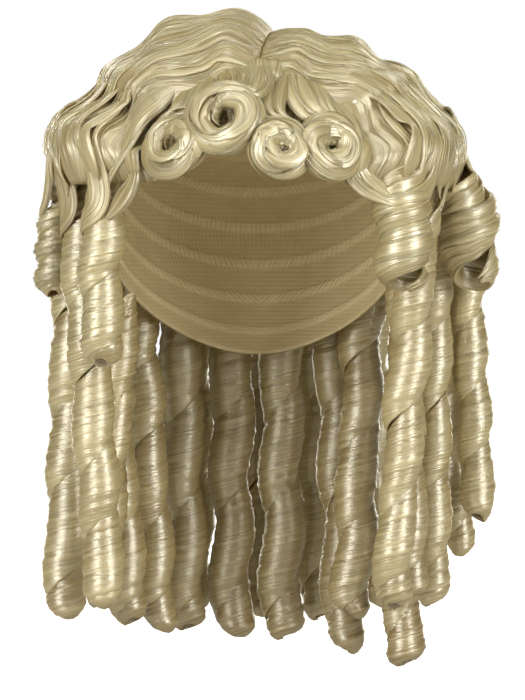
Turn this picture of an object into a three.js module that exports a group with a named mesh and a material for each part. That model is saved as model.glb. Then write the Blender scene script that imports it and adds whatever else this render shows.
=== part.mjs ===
// A blonde wig of long ringlets: a close cap, combed hair parted over the crown, a full wave of hair round
// the sides and back, rolled curls over the forehead, and ringlets that hang from the wave.
// Millimetres, +Z up, the face towards -Y, the wearer's left towards +X. The origin is the crown of the head,
// where the head's top bears on the inside of the cap.
import * as THREE from "three";

// Driving sizes
const HEAD = { halfWidth: 76, halfLength: 96, height: 95 };
const CAP_WALL = 1.6;
const SEAT_GAP = 0.3;
const CAP_RIM = { frontPolar: 62, napePolar: 133 };
const CAP_FACETS = { around: 28, down: 7 };

// Combed hair of the crown: a thin layer where the fringe starts, full behind it
const HAIR_BED = 1.1;
const HAIR_FLOOR = CAP_WALL + HAIR_BED;
const FRINGE_LAYER = 3.2;
const PARTING_HALF_GAP = 0.2;
const CROWN_COLUMNS = 9;
const CROWN_STATIONS = [
  { lengthwise: -61, parting: 0, fullness: 0 },
  { lengthwise: -50, parting: 0, fullness: 0 },
  { lengthwise: -41, parting: 1, fullness: 0.1 },
  { lengthwise: -35, parting: 1, fullness: 0.5 },
  { lengthwise: -28, parting: 2, fullness: 0.82 },
  { lengthwise: -18, parting: 4, fullness: 0.98 },
  { lengthwise: -5, parting: 6, fullness: 1 },
  { lengthwise: 9, parting: 6, fullness: 1 },
  { lengthwise: 23, parting: 5, fullness: 1 },
  { lengthwise: 36, parting: 4, fullness: 1 },
  { lengthwise: 47, parting: 2, fullness: 0.98 },
  { lengthwise: 56.5, parting: 0, fullness: 0.92 },
];
const CROWN_PROFILES = {
  right: [
    { share: 0, lift: 6 },
    { share: 0.06, lift: 13 },
    { share: 0.18, lift: 20 },
    { share: 0.4, lift: 24 },
    { share: 0.62, lift: 26 },
    { share: 0.84, lift: 28.5 },
    { share: 0.95, lift: 28 },
    { share: 1, lift: 22 },
  ],
  left: [
    { share: 0, lift: 6 },
    { share: 0.06, lift: 9 },
    { share: 0.22, lift: 14 },
    { share: 0.42, lift: 18 },
    { share: 0.62, lift: 22 },
    { share: 0.8, lift: 26 },
    { share: 0.95, lift: 30 },
    { share: 1, lift: 26 },
  ],
};
const COMBED_WAVE = { depth: 1.6, crests: 2, slant: 0.02 };

// Where the combed crown ends and the side wave starts, as a polar angle from the crown for each azimuth
const CROWN_EDGE = [
  { azimuth: 0, polar: 62 },
  { azimuth: 40, polar: 60 },
  { azimuth: 70, polar: 56 },
  { azimuth: 90, polar: 54 },
  { azimuth: 110, polar: 55 },
  { azimuth: 140, polar: 57 },
  { azimuth: 180, polar: 58 },
];
const CREASE_ANGLE = 1.4;

// The full wave round the sides and back, with a lobe for each lock
const WAVE_PROFILES = {
  right: [
    { share: 0, lift: 23 },
    { share: 0.15, lift: 33 },
    { share: 0.4, lift: 40 },
    { share: 0.68, lift: 42 },
    { share: 0.88, lift: 40 },
    { share: 1, lift: 37 },
  ],
  left: [
    { share: 0, lift: 28 },
    { share: 0.15, lift: 34 },
    { share: 0.4, lift: 38 },
    { share: 0.68, lift: 40 },
    { share: 0.88, lift: 39 },
    { share: 1, lift: 37 },
  ],
};
const WAVE_ENDS = {
  right: { front: 39, back: 179.7, frontHem: -74, backHem: -74 },
  left: { front: 33, back: 179.7, frontHem: -76, backHem: -74 },
};
const WAVE_LOBE = { angle: 20, topDepth: 0.24, hemDepth: 0.1 };
const WAVE_TEMPLE = { fullness: 0.3, spread: 24 };
const WAVE_BACK = { extra: 0.18, from: 112, to: 150 };
const WAVE_FACETS = { rowAngle: 6.7, columns: 6 };

// Rolled curls over the forehead: each is a strip of hair wound from its rim to its eye
const CURL_WALL = 3.6;
const CURL_FACETS_PER_TURN = 13;
const FRINGE_CURLS = [
  { name: "fringe_curl_1", azimuth: -28, rise: 21.5, radius: 14.5, eye: 5.5, turns: 1.5, depth: 18, dome: 3 },
  { name: "fringe_curl_2", azimuth: -9.4, rise: 26, radius: 16.5, eye: 8, turns: 1.5, depth: 23, dome: 0 },
  { name: "fringe_curl_3", azimuth: 8.2, rise: 19.5, radius: 14, eye: 5, turns: 1.5, depth: 20, dome: 4 },
  { name: "fringe_curl_4", azimuth: 24.5, rise: 22.5, radius: 13.4, eye: 5, turns: 1.5, depth: 18, dome: 3 },
];
const CURL_FACES_FRONT = 0.45;
const CURL_START = 60;

// Ringlets: each is a strip of hair wound down a hanging axis, its upper edge tucked under the turn above
const RINGLET_WALL = 1.8;
const RINGLET_TUCK = 2.7;
const RINGLET_LAP = 1.12;
const RINGLET_FIRST_SLIVER = 0.08;
const RINGLET_NECK = { share: 0.82, drop: 28 };
const RINGLET_END_SHARE = 0.9;
const RINGLET_SWAY_LENGTH = 66;
const WINDS = -1;
const RINGLETS = tableOf("name from topX topY endX endY endZ radius pitch sway facets", [
  ["right_temple", "hem", -77, -60, -78, -57, -165, 12.5, 35, 1.2, 7],
  ["right_front", "hem", -91, -34, -77, -32, -288, 12, 40, 1.8, 7],
  ["right_high", "hem", -105, -9, -106, -9, -130, 10.5, 15, 0.8, 7],
  ["right_outer", "hem", -95, 19, -100, 1, -296, 13, 47, 2, 7],
  ["right_inner", "hem", -86, 49, -68, 45, -304, 12, 42, 1.5, 7],
  ["right_nape", "hem", -69, 76, -53, 67, -310, 12, 42, 1.5, 7],
  ["right_under", "rim", -70, 26, -83, 22, -292, 10.5, 44, 1, 7],
  ["left_temple", "hem", 74, -77, 72, -77, -138, 15.5, 21, 0, 8],
  ["left_front", "hem", 83, -48, 68, -34, -289, 11.5, 42, 1.8, 7],
  ["left_high", "hem", 109, -23, 110, -23, -136, 16.5, 30, 0, 8],
  ["left_middle", "hem", 92, 5, 92, 9, -291, 11, 40, 1.5, 7],
  ["left_outer", "hem", 108, 25, 116, 6, -246, 10.5, 36, 1.2, 7],
  ["left_short", "hem", 101, 48, 107, 36, -266, 10, 36, 1.2, 7],
  ["left_low", "hem", 85, 70, 78, 43, -326, 12, 46, 1.5, 7],
  ["left_inner", "hem", 62, 90, 51, 62, -302, 13, 44, 1.5, 7],
  ["left_under", "rim", 75, -14, 80, -13, -286, 10.5, 44, 1, 7],
  ["back_1", "hem", -43, 97, -40, 95, -312, 13.3, 54, 1.2, 7],
  ["back_2", "hem", -15, 108, -14, 104, -316, 13.3, 54, 1.2, 7],
  ["back_3", "hem", 13, 109, 14, 105, -318, 13.3, 54, 1.2, 7],
  ["back_4", "hem", 39, 105, 48, 90, -324, 12, 54, 1.2, 7],
  ["back_5", "hem", -68, 104, -66, 102, -298, 11.5, 52, 1.2, 7],
  ["back_6", "hem", -36, 124, -35, 121, -304, 11.5, 52, 1.2, 7],
  ["back_7", "hem", -1, 131.5, 0, 129, -307, 11.5, 52, 1.2, 7],
  ["back_8", "hem", 31, 129, 34, 126, -309, 11.5, 52, 1.2, 7],
  ["back_9", "hem", 63, 114.5, 66, 110, -300, 11.5, 52, 1.2, 7],
]);

const HAIR = new THREE.MeshStandardMaterial({ color: 0xd8cda4, roughness: 0.38, metalness: 0 });
const CAP_NET = new THREE.MeshStandardMaterial({ color: 0xb79f6a, roughness: 0.85, metalness: 0 });

const radians = THREE.MathUtils.degToRad;
const degrees = THREE.MathUtils.radToDeg;
const blend = THREE.MathUtils.lerp;
const ease = THREE.MathUtils.smoothstep;

// Rows of values as records with named columns
function tableOf(columns, rows) {
  const names = columns.split(" ");
  return rows.map((row) => Object.fromEntries(row.map((value, i) => [names[i], value])));
}

// A value read from a table of rows, straight between two rows
function readTable(rows, key, at, column) {
  const last = rows.length - 1;
  const next = Math.min(last, Math.max(1, rows.findIndex((row) => row[key] >= at)));
  const after = at >= rows[last][key] ? last : next;
  const before = after - 1;
  const share = (at - rows[before][key]) / (rows[after][key] - rows[before][key]);
  return blend(rows[before][column], rows[after][column], Math.min(1, Math.max(0, share)));
}

// A direction from the head's centre, by azimuth from the face and polar angle from the crown
function towards(azimuth, polar) {
  const across = Math.sin(radians(polar));
  return new THREE.Vector3(
    across * Math.sin(radians(azimuth)),
    -across * Math.cos(radians(azimuth)),
    Math.cos(radians(polar)),
  );
}

// A direction by angles front to back and side to side, as hair combed from a parting lies
function combed(lengthwise, crosswise) {
  const across = Math.cos(radians(lengthwise));
  return new THREE.Vector3(
    across * Math.sin(radians(crosswise)),
    Math.sin(radians(lengthwise)),
    across * Math.cos(radians(crosswise)),
  );
}

// The point at a lift above the head in a direction
function aboveHead(direction, lift) {
  return new THREE.Vector3(
    (HEAD.halfWidth + lift) * direction.x,
    (HEAD.halfLength + lift) * direction.y,
    (HEAD.height + lift) * direction.z - HEAD.height,
  );
}

// The geometry with its faces turned to point out
function facingOut(geometry) {
  const at = geometry.getAttribute("position");
  const index = geometry.getIndex();
  const [a, b, c] = [new THREE.Vector3(), new THREE.Vector3(), new THREE.Vector3()];
  let volume = 0;
  for (let i = 0; i < index.count; i += 3) {
    a.fromBufferAttribute(at, index.getX(i));
    b.fromBufferAttribute(at, index.getX(i + 1));
    c.fromBufferAttribute(at, index.getX(i + 2));
    volume += a.dot(b.cross(c));
  }
  if (volume < 0) {
    for (let i = 0; i < index.count; i += 3) {
      const second = index.getX(i + 1);
      index.setX(i + 1, index.getX(i + 2));
      index.setX(i + 2, second);
    }
  }
  geometry.computeVertexNormals();
  return geometry;
}

// A closed wall with an outer and an inner face: pointAt(row share, column share, face) gives its points
function wallGeometry(rows, columns, pointAt) {
  const points = [];
  const triangles = [];
  const at = (row, column, face) => (row * (columns + 1) + column) * 2 + face;
  const quad = (a, b, c, d) => triangles.push(a, b, c, a, c, d);
  for (let row = 0; row <= rows; row++) {
    for (let column = 0; column <= columns; column++) {
      for (const face of [0, 1]) {
        points.push(...pointAt(row / rows, column / columns, face).toArray());
      }
    }
  }
  for (let row = 0; row < rows; row++) {
    for (let column = 0; column < columns; column++) {
      quad(at(row, column, 1), at(row, column + 1, 1), at(row + 1, column + 1, 1), at(row + 1, column, 1));
      quad(at(row, column, 0), at(row + 1, column, 0), at(row + 1, column + 1, 0), at(row, column + 1, 0));
    }
    quad(at(row, 0, 0), at(row, 0, 1), at(row + 1, 0, 1), at(row + 1, 0, 0));
    quad(at(row, columns, 1), at(row, columns, 0), at(row + 1, columns, 0), at(row + 1, columns, 1));
  }
  for (let column = 0; column < columns; column++) {
    quad(at(0, column, 0), at(0, column + 1, 0), at(0, column + 1, 1), at(0, column, 1));
    quad(at(rows, column, 1), at(rows, column + 1, 1), at(rows, column + 1, 0), at(rows, column, 0));
  }
  const geometry = new THREE.BufferGeometry();
  geometry.setAttribute("position", new THREE.Float32BufferAttribute(points, 3));
  geometry.setIndex(triangles);
  return facingOut(geometry);
}

// The polar angle of the cap's rim at an azimuth, and the height of its lower corner
function rimPolar(azimuth) {
  return blend(CAP_RIM.frontPolar, CAP_RIM.napePolar, (1 - Math.cos(radians(azimuth))) / 2);
}

function rimHeight(azimuth) {
  return (HEAD.height + CAP_WALL) * Math.cos(radians(rimPolar(azimuth))) - HEAD.height;
}

// The cap: a turned disc of two faces, bent over the head, with a rim that drops from the brow to the nape
function capGeometry() {
  const shares = Array.from({ length: CAP_FACETS.down + 1 }, (_, i) => i / CAP_FACETS.down);
  const outer = shares.map((share) => new THREE.Vector2(share, 1));
  const inner = shares.map((share) => new THREE.Vector2(share, 0)).reverse();
  const geometry = new THREE.LatheGeometry([...outer, ...inner], CAP_FACETS.around);
  const at = geometry.getAttribute("position");
  for (let i = 0; i < at.count; i++) {
    const azimuth = degrees(Math.atan2(at.getX(i), at.getZ(i)));
    const share = Math.hypot(at.getX(i), at.getZ(i));
    const point = aboveHead(towards(azimuth, share * rimPolar(azimuth)), at.getY(i) * CAP_WALL);
    at.setXYZ(i, point.x, point.y, point.z);
  }
  return facingOut(geometry);
}

// The side angle at which combed hair, at an angle front to back, reaches the crown's lower edge
function crosswiseEdge(lengthwise) {
  let low = 0;
  let high = 90;
  for (let step = 0; step < 40; step++) {
    const middle = (low + high) / 2;
    const direction = combed(lengthwise, middle);
    const azimuth = degrees(Math.atan2(direction.x, -direction.y));
    const polar = degrees(Math.acos(direction.z));
    if (polar < readTable(CROWN_EDGE, "azimuth", azimuth, "polar")) low = middle;
    else high = middle;
  }
  return (low + high) / 2;
}

// Half of the combed crown, from the parting to its lower edge
function crownGeometry(sideName, side) {
  const stations = CROWN_STATIONS.length - 1;
  return wallGeometry(stations, CROWN_COLUMNS, (rowShare, columnShare, face) => {
    const station = CROWN_STATIONS[Math.round(rowShare * stations)];
    const start = station.parting + side * PARTING_HALF_GAP;
    const crosswise = blend(start, side * crosswiseEdge(station.lengthwise), columnShare);
    const profile = readTable(CROWN_PROFILES[sideName], "share", columnShare, "lift");
    const phase = COMBED_WAVE.crests * columnShare + COMBED_WAVE.slant * station.lengthwise;
    const wave = COMBED_WAVE.depth * Math.sin(2 * Math.PI * phase) * Math.sin(Math.PI * columnShare);
    const thin = HAIR_FLOOR + FRINGE_LAYER;
    const lift = thin + station.fullness * (Math.max(profile, thin) - thin + wave);
    return aboveHead(combed(station.lengthwise, crosswise), face ? lift : HAIR_FLOOR);
  });
}

// The height of the side wave's hem at an azimuth
function hemHeight(ends, azimuth) {
  return blend(ends.frontHem, ends.backHem, (azimuth - ends.front) / (ends.back - ends.front));
}

// The polar angle at which a lift above the head comes down to a height
function polarAtHeight(height, lift) {
  return degrees(Math.acos((height + HEAD.height) / (HEAD.height + lift)));
}

// The full wave of one side, from the crown's edge to its hem, and from the temple to the back
function waveGeometry(sideName, side) {
  const ends = WAVE_ENDS[sideName];
  const rows = Math.round((ends.back - ends.front) / WAVE_FACETS.rowAngle);
  return wallGeometry(rows, WAVE_FACETS.columns, (rowShare, columnShare, face) => {
    const azimuth = blend(ends.front, ends.back, rowShare);
    const fromFront = azimuth - ends.front;
    const valley = 1 - Math.abs(Math.sin((Math.PI * fromFront) / WAVE_LOBE.angle));
    const lobe = 1 - blend(WAVE_LOBE.topDepth, WAVE_LOBE.hemDepth, columnShare) * valley;
    const temple = blend(WAVE_TEMPLE.fullness, 1, ease(fromFront, 0, WAVE_TEMPLE.spread));
    const behind = 1 + WAVE_BACK.extra * columnShare * ease(azimuth, WAVE_BACK.from, WAVE_BACK.to);
    const full = readTable(WAVE_PROFILES[sideName], "share", columnShare, "lift") * lobe * temple * behind;
    const lift = face ? full : HAIR_FLOOR;
    const top = readTable(CROWN_EDGE, "azimuth", azimuth, "polar") + CREASE_ANGLE;
    const hem = polarAtHeight(hemHeight(ends, azimuth), lift);
    return aboveHead(towards(side * azimuth, blend(top, hem, columnShare)), lift);
  });
}

// How far along a line from a point the shell at a lift above the head is left behind
function leaveShell(point, direction, lift) {
  const size = new THREE.Vector3(HEAD.halfWidth + lift, HEAD.halfLength + lift, HEAD.height + lift);
  const from = point.clone().setZ(point.z + HEAD.height).divide(size);
  const along = direction.clone().divide(size);
  const half = from.dot(along) / along.lengthSq();
  const rest = (from.lengthSq() - 1) / along.lengthSq();
  return Math.sqrt(half * half - rest) - half;
}

// A rolled curl: a strip that stands on the fringe layer and winds in from its rim to its eye
function curlGeometry(curl) {
  const seat = HAIR_FLOOR + FRINGE_LAYER + SEAT_GAP;
  const outwards = towards(curl.azimuth, 90 - curl.rise);
  const centre = aboveHead(outwards, 0);
  const axis = outwards.clone().lerp(new THREE.Vector3(0, -1, 0), CURL_FACES_FRONT).normalize();
  const sideways = new THREE.Vector3(0, 0, 1).cross(axis).negate().normalize();
  const upwards = sideways.clone().cross(axis).normalize();
  const rows = Math.round(curl.turns * CURL_FACETS_PER_TURN);
  return wallGeometry(rows, 1, (rowShare, columnShare, face) => {
    const turn = radians(CURL_START) + rowShare * curl.turns * 2 * Math.PI;
    const radius = blend(curl.radius, curl.eye, rowShare) - (face ? 0 : CURL_WALL);
    const spot = centre
      .clone()
      .addScaledVector(sideways, radius * Math.cos(turn))
      .addScaledVector(upwards, radius * Math.sin(turn));
    const base = leaveShell(spot, axis, seat);
    const rise = columnShare * (curl.depth + curl.dome * rowShare);
    return spot.addScaledVector(axis, base + rise);
  });
}

// A ringlet: a strip wound down its axis from the hem of the side wave, cut level at its top and its end
function ringletGeometry(row) {
  const sideName = row.topX < 0 ? "right" : "left";
  const inwards = Math.atan2(-row.topY, -row.topX);
  const azimuth = degrees(Math.atan2(Math.abs(row.topX), -row.topY));
  const rearmost = row.topY + row.radius * RINGLET_NECK.share - RINGLET_TUCK / 2;
  const rimAzimuth = degrees(Math.atan2(Math.abs(row.topX) / HEAD.halfWidth, -rearmost / HEAD.halfLength));
  const seat = row.from === "hem" ? hemHeight(WAVE_ENDS[sideName], azimuth) : rimHeight(rimAzimuth);
  const top = seat - 2 * SEAT_GAP;
  const length = top - row.endZ;
  const strip = row.pitch * RINGLET_LAP;
  const firstEdge = -strip * (1 - RINGLET_FIRST_SLIVER);
  const lastEdge = length - strip * RINGLET_FIRST_SLIVER;
  const rows = Math.round(((lastEdge - firstEdge) / row.pitch) * row.facets);
  const pitch = ((lastEdge - firstEdge) / rows) * row.facets;
  return wallGeometry(rows, 1, (rowShare, columnShare, face) => {
    const wound = (rowShare * rows) / row.facets;
    const upperEdge = firstEdge + wound * pitch;
    const cutTop = Math.max(0, -upperEdge / strip);
    const cutEnd = Math.min(1, (length - upperEdge) / strip);
    const across = blend(cutTop, cutEnd, columnShare);
    const drop = upperEdge + across * strip;
    const neck = blend(RINGLET_NECK.share, 1, ease(drop, 0, RINGLET_NECK.drop));
    const taper = blend(1, RINGLET_END_SHARE, (drop / length) ** 2);
    const tuck = RINGLET_TUCK * (1 - across);
    const radius = row.radius * neck * taper - tuck - (face ? 0 : RINGLET_WALL);
    const angle = inwards + WINDS * 2 * Math.PI * wound;
    const lean = drop / length;
    const sway = row.sway * Math.sin((2 * Math.PI * drop) / RINGLET_SWAY_LENGTH);
    return new THREE.Vector3(
      blend(row.topX, row.endX, lean) + sway * Math.sin(inwards) + radius * Math.cos(angle),
      blend(row.topY, row.endY, lean) - sway * Math.cos(inwards) + radius * Math.sin(angle),
      top - drop,
    );
  });
}

function piece(name, geometry, material) {
  const mesh = new THREE.Mesh(geometry, material);
  mesh.name = name;
  return mesh;
}

const wig = new THREE.Group();
wig.add(piece("wig_cap", capGeometry(), CAP_NET));
for (const [sideName, side] of [["right", -1], ["left", 1]]) {
  wig.add(piece(`crown_hair_${sideName}`, crownGeometry(sideName, side), HAIR));
  wig.add(piece(`side_wave_${sideName}`, waveGeometry(sideName, side), HAIR));
}
for (const curl of FRINGE_CURLS) wig.add(piece(curl.name, curlGeometry(curl), HAIR));
for (const row of RINGLETS) wig.add(piece(`ringlet_${row.name}`, ringletGeometry(row), HAIR));

export default wig;
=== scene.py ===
import math

import bpy
import numpy as np
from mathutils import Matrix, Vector


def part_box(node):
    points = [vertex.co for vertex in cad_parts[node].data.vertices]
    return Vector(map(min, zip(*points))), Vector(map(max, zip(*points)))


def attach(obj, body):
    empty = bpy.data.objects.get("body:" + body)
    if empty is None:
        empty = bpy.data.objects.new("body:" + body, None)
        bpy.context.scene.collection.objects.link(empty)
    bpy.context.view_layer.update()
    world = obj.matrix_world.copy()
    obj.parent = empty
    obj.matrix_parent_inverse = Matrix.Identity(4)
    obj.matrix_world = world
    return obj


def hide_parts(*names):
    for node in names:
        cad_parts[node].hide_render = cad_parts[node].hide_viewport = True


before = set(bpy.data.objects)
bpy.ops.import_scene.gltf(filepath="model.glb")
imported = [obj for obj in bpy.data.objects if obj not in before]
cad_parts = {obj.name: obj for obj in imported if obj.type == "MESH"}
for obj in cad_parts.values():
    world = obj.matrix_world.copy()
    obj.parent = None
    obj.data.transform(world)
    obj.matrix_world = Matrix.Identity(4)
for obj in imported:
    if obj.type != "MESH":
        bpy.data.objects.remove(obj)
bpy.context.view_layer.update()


# The studio: a pale floor under the wig with white all round, two tall soft lights either side of the
# camera, four behind and one overhead. The camera looks level at the wig from 1.5 m in front of it.
CAMERA_LENS = 148.3
CAMERA_PLACE = (0.0029, -1.5, -0.1586)
scene = bpy.context.scene
scene.view_settings.view_transform = "Standard"

camera = bpy.data.objects.new("camera", bpy.data.cameras.new("camera"))
camera.data.sensor_width = 36
camera.data.lens = CAMERA_LENS
camera.location = CAMERA_PLACE
camera.rotation_euler = (math.radians(90), 0, 0)
scene.collection.objects.link(camera)
scene.camera = camera

world = bpy.data.worlds.new("studio")
world.use_nodes = True
background = world.node_tree.nodes["Background"]
background.inputs["Color"].default_value = (1, 1, 1, 1)
ROOM_GLOW = 0.24
ROOM_MIRRORED = 0.05
seen = world.node_tree.nodes.new("ShaderNodeLightPath")
room = world.node_tree.nodes.new("ShaderNodeMapRange")
room.inputs["To Min"].default_value = ROOM_GLOW
room.inputs["To Max"].default_value = ROOM_MIRRORED
level = world.node_tree.nodes.new("ShaderNodeMix")
level.inputs[3].default_value = 1.0
world.node_tree.links.new(seen.outputs["Is Glossy Ray"], room.inputs["Value"])
world.node_tree.links.new(seen.outputs["Is Camera Ray"], level.inputs[0])
world.node_tree.links.new(room.outputs["Result"], level.inputs[2])
world.node_tree.links.new(level.outputs[0], background.inputs["Strength"])
scene.world = world

SOFT_LIGHTS = [
    # name, azimuth, height, distance, width, tall, watts, whether the hair mirrors it
    ("left_light", -40, 0.1, 1.7, 0.55, 2.1, 35, True),
    ("right_light", 40, 0.1, 1.7, 0.55, 2.1, 35, True),
    ("top_light", 0, 1.4, 0.5, 0.9, 0.5, 6, True),
    ("rear_left_light", -140, 0.1, 1.8, 0.3, 1.6, 9, False),
    ("rear_right_light", 140, 0.1, 1.8, 0.3, 1.6, 9, False),
    ("low_rear_left_light", -154, 0.1, 1.7, 0.3, 2.0, 17, True),
    ("low_rear_right_light", 154, 0.1, 1.7, 0.3, 2.0, 17, True),
]
LIT_POINT = Vector((0, 0, -0.15))
for name, azimuth, height, distance, width, tall, watts, shine in SOFT_LIGHTS:
    lamp = bpy.data.lights.new(name, "AREA")
    lamp.shape = "RECTANGLE"
    lamp.size = width
    lamp.size_y = tall
    lamp.energy = watts
    light = bpy.data.objects.new(name, lamp)
    light.visible_glossy = shine
    bearing = math.radians(azimuth)
    light.location = (distance * math.sin(bearing), -distance * math.cos(bearing), height)
    aim = light.location - LIT_POINT
    light.rotation_euler = aim.to_track_quat("Z", "Y").to_euler()
    scene.collection.objects.link(light)

FLOOR_LEVEL = -0.345
FLOOR_RADIUS = 60.0
FLOOR_COLOUR = (0.45, 0.42, 0.36, 1)
FLOOR_GLOW = 0.04
floor_mesh = bpy.data.meshes.new("floor")
rim_angles = np.linspace(0, 2 * np.pi, 96, endpoint=False)
rim = np.stack([FLOOR_RADIUS * np.cos(rim_angles), FLOOR_RADIUS * np.sin(rim_angles)], axis=1)
floor_mesh.from_pydata([(x, y, FLOOR_LEVEL) for x, y in rim], [], [range(len(rim))])
floor = bpy.data.objects.new("floor", floor_mesh)
scene.collection.objects.link(floor)
pale = bpy.data.materials.new("pale_floor")
pale.use_nodes = True
paint = pale.node_tree.nodes["Principled BSDF"]
paint.inputs["Base Color"].default_value = FLOOR_COLOUR
paint.inputs["Roughness"].default_value = 0.9
paint.inputs["Emission Color"].default_value = (1, 1, 1, 1)
glow = pale.node_tree.nodes.new("ShaderNodeMapRange")
glow.inputs["To Min"].default_value = FLOOR_GLOW
glow.inputs["To Max"].default_value = 1.0
seen = pale.node_tree.nodes.new("ShaderNodeLightPath")
pale.node_tree.links.new(seen.outputs["Is Camera Ray"], glow.inputs["Value"])
pale.node_tree.links.new(glow.outputs["Result"], paint.inputs["Emission Strength"])
floor_mesh.materials.append(pale)


# The cap: a close elastic net that all the hair is fixed to, open below and cut lower at the nape. It is
# matt golden net, with rows of weft sewn round its inside.
CAP_SIZE = np.array([0.076, 0.096, 0.095])
CAP_WALL = 0.0016
CAP_RIM = {"front": 62, "back": 133}
CAP_EYE = 0.012
WEFT_ROWS = 11
WEFT_RISE = 0.0007
NET_PALE = (0.78, 0.67, 0.42, 1)
NET_DEEP = (0.54, 0.43, 0.23, 1)
NET_PITCH = 0.0024
WEFT_STITCH = 0.0032


class Wire:
    """A shader socket that arithmetic can be done with."""

    def __init__(self, tree, socket):
        self.tree = tree
        self.socket = socket

    def node(self, kind, settings, values, output=0):
        made = self.tree.nodes.new(kind)
        for name, value in settings.items():
            setattr(made, name, value)
        for name, value in values.items():
            if isinstance(value, Wire):
                self.tree.links.new(value.socket, made.inputs[name])
            else:
                made.inputs[name].default_value = value
        return Wire(self.tree, made.outputs[output])

    def maths(self, operation, first, second):
        return self.node("ShaderNodeMath", {"operation": operation}, {0: first, 1: second})

    def __add__(self, other):
        return self.maths("ADD", self, other)

    def __radd__(self, other):
        return self.maths("ADD", other, self)

    def __sub__(self, other):
        return self.maths("SUBTRACT", self, other)

    def __rsub__(self, other):
        return self.maths("SUBTRACT", other, self)

    def __mul__(self, other):
        return self.maths("MULTIPLY", self, other)

    def __rmul__(self, other):
        return self.maths("MULTIPLY", other, self)

    def clamped(self):
        return self.node("ShaderNodeClamp", {}, {"Value": self})

    def sine(self):
        return self.node("ShaderNodeMath", {"operation": "SINE"}, {0: self})

    def mixed(self, low, high):
        return self.node("ShaderNodeMix", {"data_type": "RGBA"}, {0: self, 6: low, 7: high}, 2)

    def stretched(self, along, across):
        return self.node("ShaderNodeVectorMath", {"operation": "MULTIPLY"}, {0: self, 1: (along, across, 1)})

    def noise(self, along, across, detail):
        values = {"Vector": self.stretched(along, across), "Scale": 1, "Detail": detail}
        return self.node("ShaderNodeTexNoise", {"noise_dimensions": "2D"}, values)

    def part(self, output):
        return self.node("ShaderNodeSeparateXYZ", {}, {0: self}, output)


def uv_wire(tree, layer):
    made = tree.nodes.new("ShaderNodeUVMap")
    made.uv_map = layer
    return Wire(tree, made.outputs["UV"])


def finish_material(colour, roughness, height, depth, strength, shine):
    tree = colour.tree
    surface = tree.nodes["Principled BSDF"]
    bump = height.node("ShaderNodeBump", {}, {"Strength": strength, "Distance": depth, "Height": height})
    tree.links.new(colour.socket, surface.inputs["Base Color"])
    tree.links.new(roughness.socket, surface.inputs["Roughness"])
    tree.links.new(bump.socket, surface.inputs["Normal"])
    for socket, value in shine.items():
        surface.inputs[socket].default_value = value


def net_material():
    material = bpy.data.materials.new("cap_net")
    material.use_nodes = True
    tree = material.node_tree
    flow = uv_wire(tree, "flow")
    rows = uv_wire(tree, "tone")
    along = (flow.part(0) * (math.pi / NET_PITCH)).sine()
    across = (flow.part(1) * (math.pi / NET_PITCH)).sine()
    stitch = (flow.part(0) * (2 * math.pi / WEFT_STITCH)).sine()
    threads = along * along + across * across
    blotch = flow.noise(90, 90, 2)
    weft = ((rows.part(0) * (2 * math.pi * WEFT_ROWS)).sine() * 3 - 1.6).clamped()
    sewn = weft * (stitch * 0.2 + 0.5)
    colour = (threads * 0.14 + blotch * 0.4 + sewn).clamped().mixed(NET_DEEP, NET_PALE)
    height = threads * 0.4 + sewn * 2
    finish_material(colour, blotch * 0.1 + 0.72, height, 0.0005, 0.6, {"Specular IOR Level": 0.3})
    return material


def joined(*parts):
    return np.stack(np.broadcast_arrays(*parts), axis=-1)


def towards(azimuth, polar):
    a, p = np.radians(azimuth), np.radians(polar)
    return joined(np.sin(p) * np.sin(a), -np.sin(p) * np.cos(a), np.cos(p))


def above_cap(direction, lift):
    return direction * (CAP_SIZE + np.asarray(lift)[..., None]) - (0, 0, CAP_SIZE[2])


def rim_polar(azimuth):
    return CAP_RIM["front"] + (CAP_RIM["back"] - CAP_RIM["front"]) * (1 - np.cos(np.radians(azimuth))) / 2


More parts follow.
